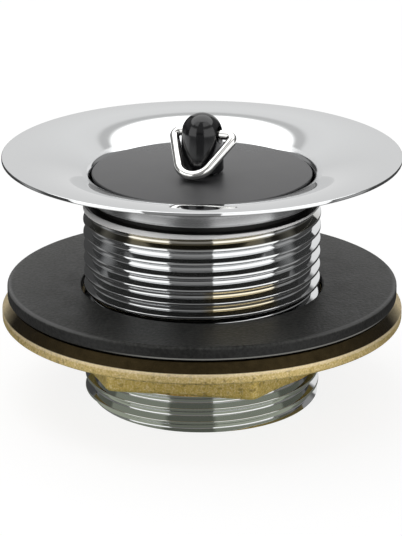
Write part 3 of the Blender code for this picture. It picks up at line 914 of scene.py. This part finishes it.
# Flat ring with rounded edges, turned
def makeRetainer(material):
    low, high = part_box("plug_retainer")
    hole = plug["holeRadius"]
    e = retainer["edge"]
    outline = softOutline([(hole, low.z, e, 2), (high.x, low.z, e, 3),
                           (high.x, high.z, e, 3), (hole, high.z, e, 2)], closed=True)
    piece = addSurface("retainerDisc", lathe(outline, retainer["columns"]))
    dress(piece, material, "plug", "plug_retainer")


def bareSteel():
    kit = NodeKit(bpy.data.materials.new("bareSteel"))
    lines = kit.noise(retainer["lineSize"], 2.0)
    colour = kit.mixColour(lines, rgb(0.42, 0.42, 0.41), rgb(0.58, 0.58, 0.57))
    bumps = kit.bump(lines, retainer["lineRelief"])
    return kit.finish(Base_Color=colour, Metallic=1.0, Roughness=0.28 + 0.14 * lines, Normal=bumps)


makeWasteShell(chromePlate())
makeSealingWasher(washerRubber())
makeBackNut(castBrass())
makePlugPlate(plugRubber())
makeKnob(glossBlack())
makeWireRing(wireChrome())
makeRetainer(bareSteel())
print("stage 2: pieces made")


# Floor, light and camera

studio = {
    "ambient": 0.55,           # light from all round on matt surfaces
    "floorReach": 3.0,         # metres each way
    "floorColour": 0.82,
    "floorGlow": 0.72,         # share of plain white that the camera sees in the floor
    "glowStrength": 1.165,
    "tableRadius": 70 * mm,    # olive tabletop that only reflections see
    "tableDepth": 0.3 * mm,
    "tableColour": (0.93, 1, 0.80),
    "tableSides": ((-72, -23, 3), (8, 62, 3)),   # before the two screens: from, to and ramp
    "tableFoot": (0.19, 0.43),                   # light near the part: elsewhere, and before the screens
    "tableRim": (0.24, 0.62),                    # the same further out
    "rimFrom": (48 * mm, 5 * mm),                # middle and width of the ramp, out from the axis
    "lampPower": 1.2,
    "lampSize": 500 * mm,
    "lampPlace": (-150 * mm, 100 * mm, 620 * mm),
    "lampAim": 30 * mm,                          # height on the axis
}


# Level square: x and y run over the reach, z = 0
def makeFloor():
    reach = studio["floorReach"]
    across = np.linspace(-reach, reach, 9)
    grid = np.stack(np.broadcast_arrays(across[None, :], across[:, None], 0.0), axis=-1)
    floor = addSurface("studioFloor", grid)
    kit = NodeKit(bpy.data.materials.new("paleFloor"))
    seen = kit.node("ShaderNodeLightPath", output="Is Camera Ray")
    matt = kit.node("ShaderNodeBsdfDiffuse", {}, {"Color": rgb(*[studio["floorColour"]] * 3)})
    both = kit.mixShader(seen * studio["floorGlow"], matt, kit.glow(studio["glowStrength"]))
    kit.node("ShaderNodeOutputMaterial", {}, {"Surface": both})
    floor.data.materials.append(kit.owner)
    floor.visible_glossy = False


# Level disc just under the floor, seen only in reflections: its outline runs straight from the axis to its
# rim
def makeTable():
    outline = np.array([[0, -studio["tableDepth"]], [studio["tableRadius"], -studio["tableDepth"]]])
    table = addSurface("tableGlow", lathe(outline, 64))
    kit = NodeKit(bpy.data.materials.new("tableGlow"))
    radius, azimuth = kit.polar()[:2]
    rim = radius.above(*studio["rimFrom"])
    left, right = [azimuth.between(*sides) for sides in studio["tableSides"]]
    shown = [kit.mixShader(rim, kit.glow(foot, studio["tableColour"]), kit.glow(far))
             for foot, far in zip(studio["tableFoot"], studio["tableRim"])]
    kit.node("ShaderNodeOutputMaterial", {}, {"Surface": kit.mixShader(left + right, *shown)})
    table.data.materials.append(kit.owner)
    table.visible_camera = table.visible_diffuse = table.visible_shadow = False
    table.visible_transmission = False


# What polished metal sees round it, by direction: white background behind, a bright light overhead, two
# white screens at the front with a lamp over each, a pale room and the floor below. A trio is (from, to,
# ramp) and a pair (edge, ramp), in degrees of azimuth or elevation; lights are strengths.
surround = {
    "shade": 0.072,
    "leftScreen": (-79, -33.5, 1),
    "rightScreen": (10.7, 76.7, 1),
    "screenFeet": ((-29.3, 11), (-30.5, 11)),   # fades at the screens' lower edges
    "screenTop": (33, 6),
    "screenLight": 1.6,
    "lampHeights": (48, 72, 4),
    "lampLight": 1.6,
    "middleHeights": (-28, 0, 8),   # dim wall between the screens
    "middleLight": 0.32,
    "backFrom": (169.3, 2),         # the backdrop's sides, at the height of the part
    "backLean": 0.45,               # how far they spread with each degree of elevation
    "backParts": (((-8, 2), (41, 2), 0.70), ((-8, 2), (36.5, 2), 0.87), ((22, 14), (36.5, 2), 1.0)),
    "overheadFrom": (41, 2),
    "overheadBackOf": (-0.20, 0.1),   # share of the direction's length that points to the back
    "overheadLight": 2.4,
    "sideWindow": (151, 174, 2),
    "windowHeights": (1, 38, 4),
    "windowLight": 1.05,
    "faintSides": ((-121, -104, 8), (80, 106, 8)),
    "faintHeights": (-25, 4, 10),
    "faintLights": (0.36, 0.46),
    "roomSides": (-148, 148, 6),
    "roomHeights": (14, 90, 10),      # pale upper walls and ceiling of the room
    "roomLight": 0.33,
    "floorBelow": (-42, 6),
    "floorLight": 0.36,
}


def makeWorld():
    world = bpy.data.worlds.new("softStudio")
    bpy.context.scene.world = world
    kit = NodeKit(world)
    s = surround
    x, y, z = kit.axes(kit.node("ShaderNodeTexCoord", output="Generated"))
    azimuth = kit.azimuth(x, y)
    elevation = z.math("ARCSINE") * (180 / math.pi)
    left, right = [azimuth.between(*s[name]) for name in ("leftScreen", "rightScreen")]
    leftFoot, rightFoot = [elevation.above(*foot) for foot in s["screenFeet"]]
    middle = azimuth.between(s["leftScreen"][1], s["rightScreen"][0], s["leftScreen"][2])
    behind = (abs(azimuth) + s["backLean"] * elevation).above(*s["backFrom"])
    # each part covers the ones before it
    parts = [(1 - elevation.above(*s["floorBelow"]), s["floorLight"]),
             (azimuth.between(*s["roomSides"]) * elevation.between(*s["roomHeights"]), s["roomLight"])]
    for sides, level in zip(s["faintSides"], s["faintLights"]):
        parts.append((azimuth.between(*sides) * elevation.between(*s["faintHeights"]), level))
    window = azimuth.between(*s["sideWindow"]) * elevation.between(*s["windowHeights"])
    parts += [(middle * elevation.between(*s["middleHeights"]), s["middleLight"]), (window, s["windowLight"])]
    for low, high, level in s["backParts"]:
        parts.append((behind * elevation.above(*low) * (1 - elevation.above(*high)), level))
    overhead = elevation.above(*s["overheadFrom"]) * y.above(*s["overheadBackOf"])
    lamps = (left + right) * elevation.between(*s["lampHeights"])
    screens = (left * leftFoot + right * rightFoot) * (1 - elevation.above(*s["screenTop"]))
    parts += [(overhead, s["overheadLight"]), (lamps, s["lampLight"]), (screens, s["screenLight"])]

    def background(level):
        return kit.glow(level, kind="ShaderNodeBackground")

    reflected = background(s["shade"])
    for share, level in parts:
        reflected = kit.mixShader(share, reflected, background(level))
    rays = kit.node("ShaderNodeLightPath").socket.node.outputs
    cameraRay, glossyRay = [Wire(kit, rays[name]) for name in ("Is Camera Ray", "Is Glossy Ray")]
    others = kit.mixShader(glossyRay, background(studio["ambient"]), reflected)
    kit.node("ShaderNodeOutputWorld", {}, {"Surface": kit.mixShader(cameraRay, others, background(1.0))})


def makeLamp():
    data = bpy.data.lights.new("softBox", "AREA")
    data.shape = "DISK"
    data.size = studio["lampSize"]
    data.energy = studio["lampPower"]
    lamp = bpy.data.objects.new("softBox", data)
    bpy.context.scene.collection.objects.link(lamp)
    lamp.location = studio["lampPlace"]
    right, back, up = studio["lampPlace"]
    lamp.rotation_euler = (math.atan2(math.hypot(right, back), up - studio["lampAim"]), 0,
                           math.atan2(right, -back))
    lamp.visible_glossy = False


# Measured in the photograph: the image is longSide pixels high, and the drain's axis stands
# axisRightOfMiddle pixels right of its middle
camera = {
    "distance": 427.3 * mm,
    "elevation": math.radians(18.98),
    "aimHeight": 23.05 * mm,
    "focalPixels": 2405,
    "longSide": 536,
    "axisRightOfMiddle": 1,
    "sensor": 36,
    "nearest": 10 * mm,
}


def makeCamera():
    c = camera
    data = bpy.data.cameras.new("studioCamera")
    data.sensor_width = c["sensor"]
    data.lens = c["focalPixels"] / c["longSide"] * data.sensor_width
    data.clip_start = c["nearest"]
    holder = bpy.data.objects.new("studioCamera", data)
    bpy.context.scene.collection.objects.link(holder)
    pixel = c["distance"] / c["focalPixels"]
    holder.location = (-c["axisRightOfMiddle"] * pixel, -c["distance"] * math.cos(c["elevation"]),
                       c["aimHeight"] + c["distance"] * math.sin(c["elevation"]))
    holder.rotation_euler = (math.pi / 2 - c["elevation"], 0, 0)
    bpy.context.scene.camera = holder


makeFloor()
makeTable()
makeWorld()
makeLamp()
makeCamera()
bpy.context.scene.view_settings.view_transform = "Standard"
print("stage 3: floor, light and camera set")
